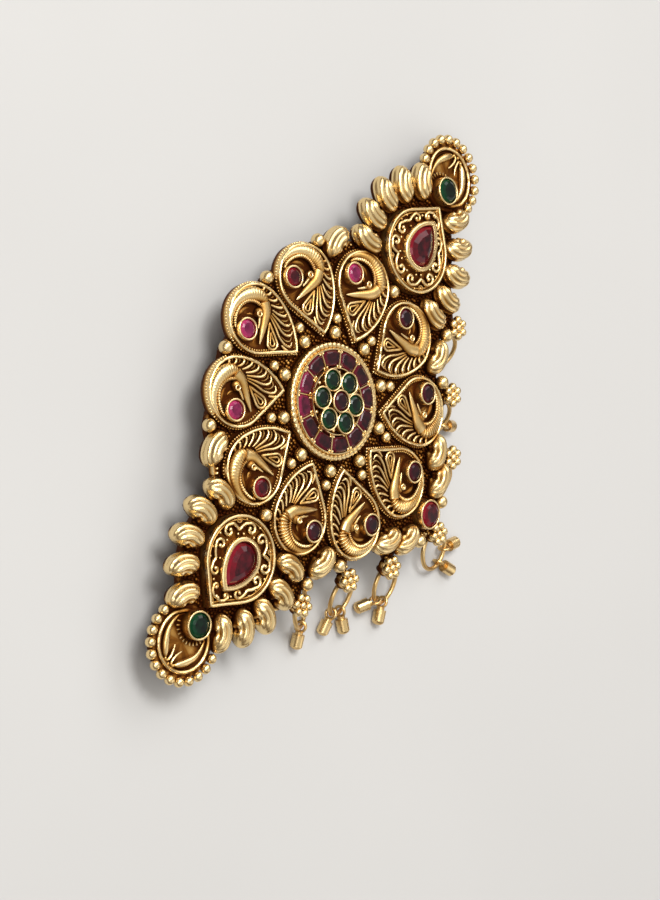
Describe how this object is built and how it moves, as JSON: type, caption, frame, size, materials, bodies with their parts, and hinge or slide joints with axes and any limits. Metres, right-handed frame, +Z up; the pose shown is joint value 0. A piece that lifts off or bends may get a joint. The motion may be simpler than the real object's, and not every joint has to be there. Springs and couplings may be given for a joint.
{
  "type": "jewelled hair clip",
  "caption": "Domed lozenge hair clip of granulated gilt metal set with red and green cut stones, with jump rings and small drops on one side and a closed spring clasp under it",
  "frame": {"origin": "middle of the flat face under the clasp's arm, on which the clip rests", "axes": "X along the clip, Y across it with the hanging drops on the -Y side, Z up through the dome"},
  "size_m": [0.1078, 0.0688, 0.011],
  "materials": {
    "gilt_brass": "cast gilt metal, worn bright on the raised work and dark in the hollows",
    "gilt_links": "plain gilt wire and beads, slightly tarnished",
    "clasp_steel": "plain spring steel",
    "ruby_dark": "faceted, very dark red",
    "ruby_red": "faceted, deep crimson",
    "ruby_pink": "faceted, pinkish red",
    "bottle_green": "faceted, dark bottle green"
  },
  "bodies": {
    "root": {"corner_stone": "ruby_red", "drop_bottom_1": "gilt_links", "drop_bottom_2": "gilt_links", "drop_left_lower_1": "gilt_links", "drop_left_lower_2": "gilt_links", "drop_left_middle_1": "gilt_links", "drop_left_middle_2": "gilt_links", "drop_left_upper_1": "gilt_links", "drop_right_lower_1": "gilt_links", "drop_right_middle_1": "gilt_links", "drop_right_upper_1": "gilt_links", "end_green_stone_left": "bottle_green", "end_green_stone_right": "bottle_green", "flower_centre_stone": "ruby_dark", "flower_green_stone_1": "bottle_green", "flower_green_stone_2": "bottle_green", "flower_green_stone_3": "bottle_green", "flower_green_stone_4": "bottle_green", "flower_green_stone_5": "bottle_green", "flower_green_stone_6": "bottle_green", "gold_frame": "gilt_brass", "hair_clasp": "clasp_steel", "jump_ring_bottom": "gilt_links", "jump_ring_left_lower": "gilt_links", "jump_ring_left_middle": "gilt_links", "jump_ring_left_upper": "gilt_links", "jump_ring_right_lower": "gilt_links", "jump_ring_right_middle": "gilt_links", "jump_ring_right_upper": "gilt_links", "pear_stone_left": "ruby_red", "pear_stone_right": "ruby_red", "petal_stone_1": "ruby_pink", "petal_stone_10": "ruby_dark", "petal_stone_2": "ruby_red", "petal_stone_3": "ruby_pink", "petal_stone_4": "ruby_pink", "petal_stone_5": "ruby_red", "petal_stone_6": "ruby_dark", "petal_stone_7": "ruby_dark", "petal_stone_8": "ruby_dark", "petal_stone_9": "ruby_dark", "rosette_red_stone_1": "ruby_red", "rosette_red_stone_10": "ruby_red", "rosette_red_stone_11": "ruby_red", "rosette_red_stone_12": "ruby_red", "rosette_red_stone_2": "ruby_red", "rosette_red_stone_3": "ruby_red", "rosette_red_stone_4": "ruby_pink", "rosette_red_stone_5": "ruby_pink", "rosette_red_stone_6": "ruby_red", "rosette_red_stone_7": "ruby_red", "rosette_red_stone_8": "ruby_red", "rosette_red_stone_9": "ruby_red"}
  },
  "joints": []
}
